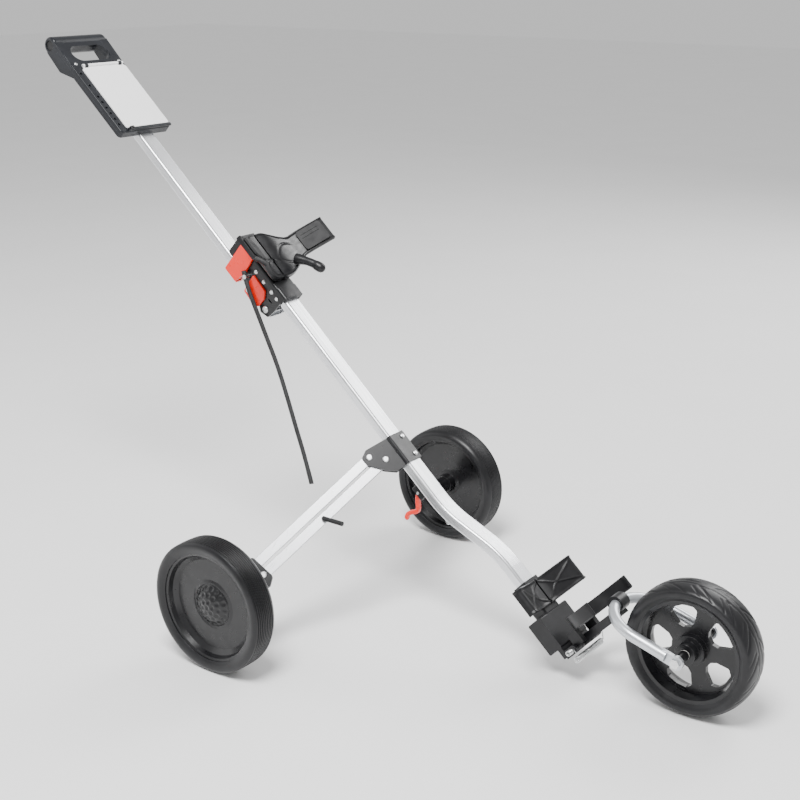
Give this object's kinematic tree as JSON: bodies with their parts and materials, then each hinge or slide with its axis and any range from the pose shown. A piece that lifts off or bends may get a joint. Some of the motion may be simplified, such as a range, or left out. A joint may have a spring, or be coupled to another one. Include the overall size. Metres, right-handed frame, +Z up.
{
  "type": "golf push trolley",
  "caption": "Three-wheeled folding push trolley with a sloping tube, an upper handle that folds at a hinge, splayed linkage arms with rear wheels, bag cradles, a front fork and wheel.",
  "frame": {"origin": "middle of the footprint, on the ground", "axes": "+X forward to the front wheel, +Y to the left side, +Z up"},
  "size_m": [1.4641, 0.736, 0.99],
  "materials": {
    "silver_tube": "bright satin anodised",
    "fork_silver": "silver-grey lacquer",
    "black_plastic": "fine grain",
    "handle_plastic": "fine grain, blue-grey black",
    "red_plastic": "semi-gloss",
    "black_metal": "powder coat",
    "eva_tyre": "satin foam tread",
    "wheel_plastic": "satin",
    "white_lid": "smooth semi-gloss",
    "bright_steel": "bright zinc",
    "white_nylon": "smooth",
    "strap_web": "woven webbing",
    "soft_rubber": "matt"
  },
  "bodies": {
    "frame": {"main_tube": "silver_tube", "hinge_plates": "black_metal", "frame_rivets": "bright_steel", "fold_pin": "bright_steel", "upper_bracket": "black_plastic", "cradle_wings": "black_plastic", "wing_pads": "soft_rubber", "yoke_top_plate": "black_metal", "yoke_bottom_plate": "black_metal", "arm_pivot_pins": "bright_steel", "fork_tube": "fork_silver", "front_axle_bolt": "bright_steel", "front_axle_nut": "bright_steel", "front_spacers": "black_plastic", "lower_block": "black_plastic", "lower_wings": "black_plastic", "foot_rod": "bright_steel", "foot_springs": "bright_steel", "lever_mount": "black_plastic", "lever_pin": "bright_steel", "stay_rod": "bright_steel", "strap_anchor": "bright_steel", "bag_strap": "strap_web"},
    "handle": {"upper_tube": "silver_tube", "handle_top_shell": "handle_plastic", "handle_bottom_shell": "handle_plastic", "grip_end_caps": "soft_rubber", "handle_screws": "bright_steel", "lid_hinge_pin": "bright_steel", "lid_clip": "black_plastic", "catch_yoke": "red_plastic", "latch_pin": "bright_steel"},
    "scorecard_lid": {"scorecard_lid": "white_lid"},
    "latch_lever": {"latch_lever": "red_plastic"},
    "bag_foot": {"bag_foot": "black_plastic"},
    "release_lever": {"release_lever": "red_plastic"},
    "front_wheel": {"front_tyre": "eva_tyre", "front_rim": "wheel_plastic", "front_bushes": "white_nylon"},
    "arm_a_right": {"arm_bar_a_right": "silver_tube"},
    "arm_b_right": {"arm_bar_b_right": "silver_tube", "arm_peg": "soft_rubber"},
    "carrier_right": {"wheel_carrier_right": "black_metal", "carrier_pins_right": "bright_steel", "stub_axle_right": "bright_steel", "axle_nut_right": "bright_steel"},
    "rear_wheel_right": {"rear_tyre_right": "eva_tyre", "rear_rim_right": "wheel_plastic", "hub_cap_right": "wheel_plastic", "hub_bushes_right": "white_nylon"},
    "arm_a_left": {"arm_bar_a_left": "silver_tube"},
    "arm_b_left": {"arm_bar_b_left": "silver_tube"},
    "carrier_left": {"wheel_carrier_left": "black_metal", "carrier_pins_left": "bright_steel", "stub_axle_left": "bright_steel", "axle_nut_left": "bright_steel"},
    "rear_wheel_left": {"rear_tyre_left": "eva_tyre", "rear_rim_left": "wheel_plastic", "hub_cap_left": "wheel_plastic", "hub_bushes_left": "white_nylon"}
  },
  "joints": [
    {"name": "handle_fold", "type": "hinge", "parent": "frame", "child": "handle", "pos_m": [-0.23406, 0, 0.52751], "axis": [0, -1, 0], "range_deg": [0, 165]},
    {"name": "latch_lever_turn", "type": "hinge", "parent": "handle", "child": "latch_lever", "pos_m": [-0.26962, 0, 0.55975], "axis": [0, 1, 0], "range_deg": [0, 60]},
    {"name": "scorecard_lid_hinge", "type": "hinge", "parent": "handle", "child": "scorecard_lid", "pos_m": [-0.65101, 0, 0.93932], "axis": [0, -1, 0], "range_deg": [0, 110]},
    {"name": "arm_a_right_swing", "type": "hinge", "parent": "frame", "child": "arm_a_right", "pos_m": [0.02334, -0.05072, 0.30656], "axis": [0.5146, -0.6428, 0.5675], "range_deg": [0, 78]},
    {"name": "arm_b_right_swing", "type": "hinge", "parent": "frame", "child": "arm_b_right", "pos_m": [0.0468, -0.03448, 0.30369], "axis": [0.5146, -0.6428, 0.5675], "range_deg": [0, 78]},
    {"name": "carrier_right_turn", "type": "hinge", "parent": "arm_a_right", "child": "carrier_right", "pos_m": [-0.07063, -0.26955, 0.14391], "axis": [0.5146, -0.6428, 0.5675], "range_deg": [-78, 0]},
    {"name": "rear_wheel_right_spin", "type": "hinge", "parent": "carrier_right", "child": "rear_wheel_right", "pos_m": [-0.07658, -0.345, 0.115], "axis": [0, 1, 0], "continuous": true},
    {"name": "arm_a_left_swing", "type": "hinge", "parent": "frame", "child": "arm_a_left", "pos_m": [0.02334, 0.05072, 0.30656], "axis": [-0.5146, -0.6428, -0.5675], "range_deg": [0, 78]},
    {"name": "arm_b_left_swing", "type": "hinge", "parent": "frame", "child": "arm_b_left", "pos_m": [0.0468, 0.03448, 0.30369], "axis": [-0.5146, -0.6428, -0.5675], "range_deg": [0, 78]},
    {"name": "carrier_left_turn", "type": "hinge", "parent": "arm_a_left", "child": "carrier_left", "pos_m": [-0.07063, 0.26955, 0.14391], "axis": [-0.5146, -0.6428, -0.5675], "range_deg": [-78, 0]},
    {"name": "rear_wheel_left_spin", "type": "hinge", "parent": "carrier_left", "child": "rear_wheel_left", "pos_m": [-0.07658, 0.345, 0.115], "axis": [0, 1, 0], "continuous": true},
    {"name": "front_wheel_spin", "type": "hinge", "parent": "frame", "child": "front_wheel", "pos_m": [0.62232, 0, 0.10975], "axis": [0, 1, 0], "continuous": true},
    {"name": "bag_foot_fold", "type": "hinge", "parent": "frame", "child": "bag_foot", "pos_m": [0.43296, 0, 0.06173], "axis": [0, -1, 0], "range_deg": [0, 30], "stiffness_Nm_per_rad": 1.2, "springref_deg": -20.05},
    {"name": "release_lever_press", "type": "hinge", "parent": "frame", "child": "release_lever", "pos_m": [0.0976, 0, 0.24568], "axis": [0, 1, 0], "range_deg": [0, 22], "stiffness_Nm_per_rad": 0.5, "springref_deg": -11.46}
  ],
  "couplings": [
    {"joint": "arm_b_right_swing", "follows": "arm_a_right_swing", "ratio": 1},
    {"joint": "carrier_right_turn", "follows": "arm_a_right_swing", "ratio": -1},
    {"joint": "arm_b_left_swing", "follows": "arm_a_left_swing", "ratio": 1},
    {"joint": "carrier_left_turn", "follows": "arm_a_left_swing", "ratio": -1}
  ]
}
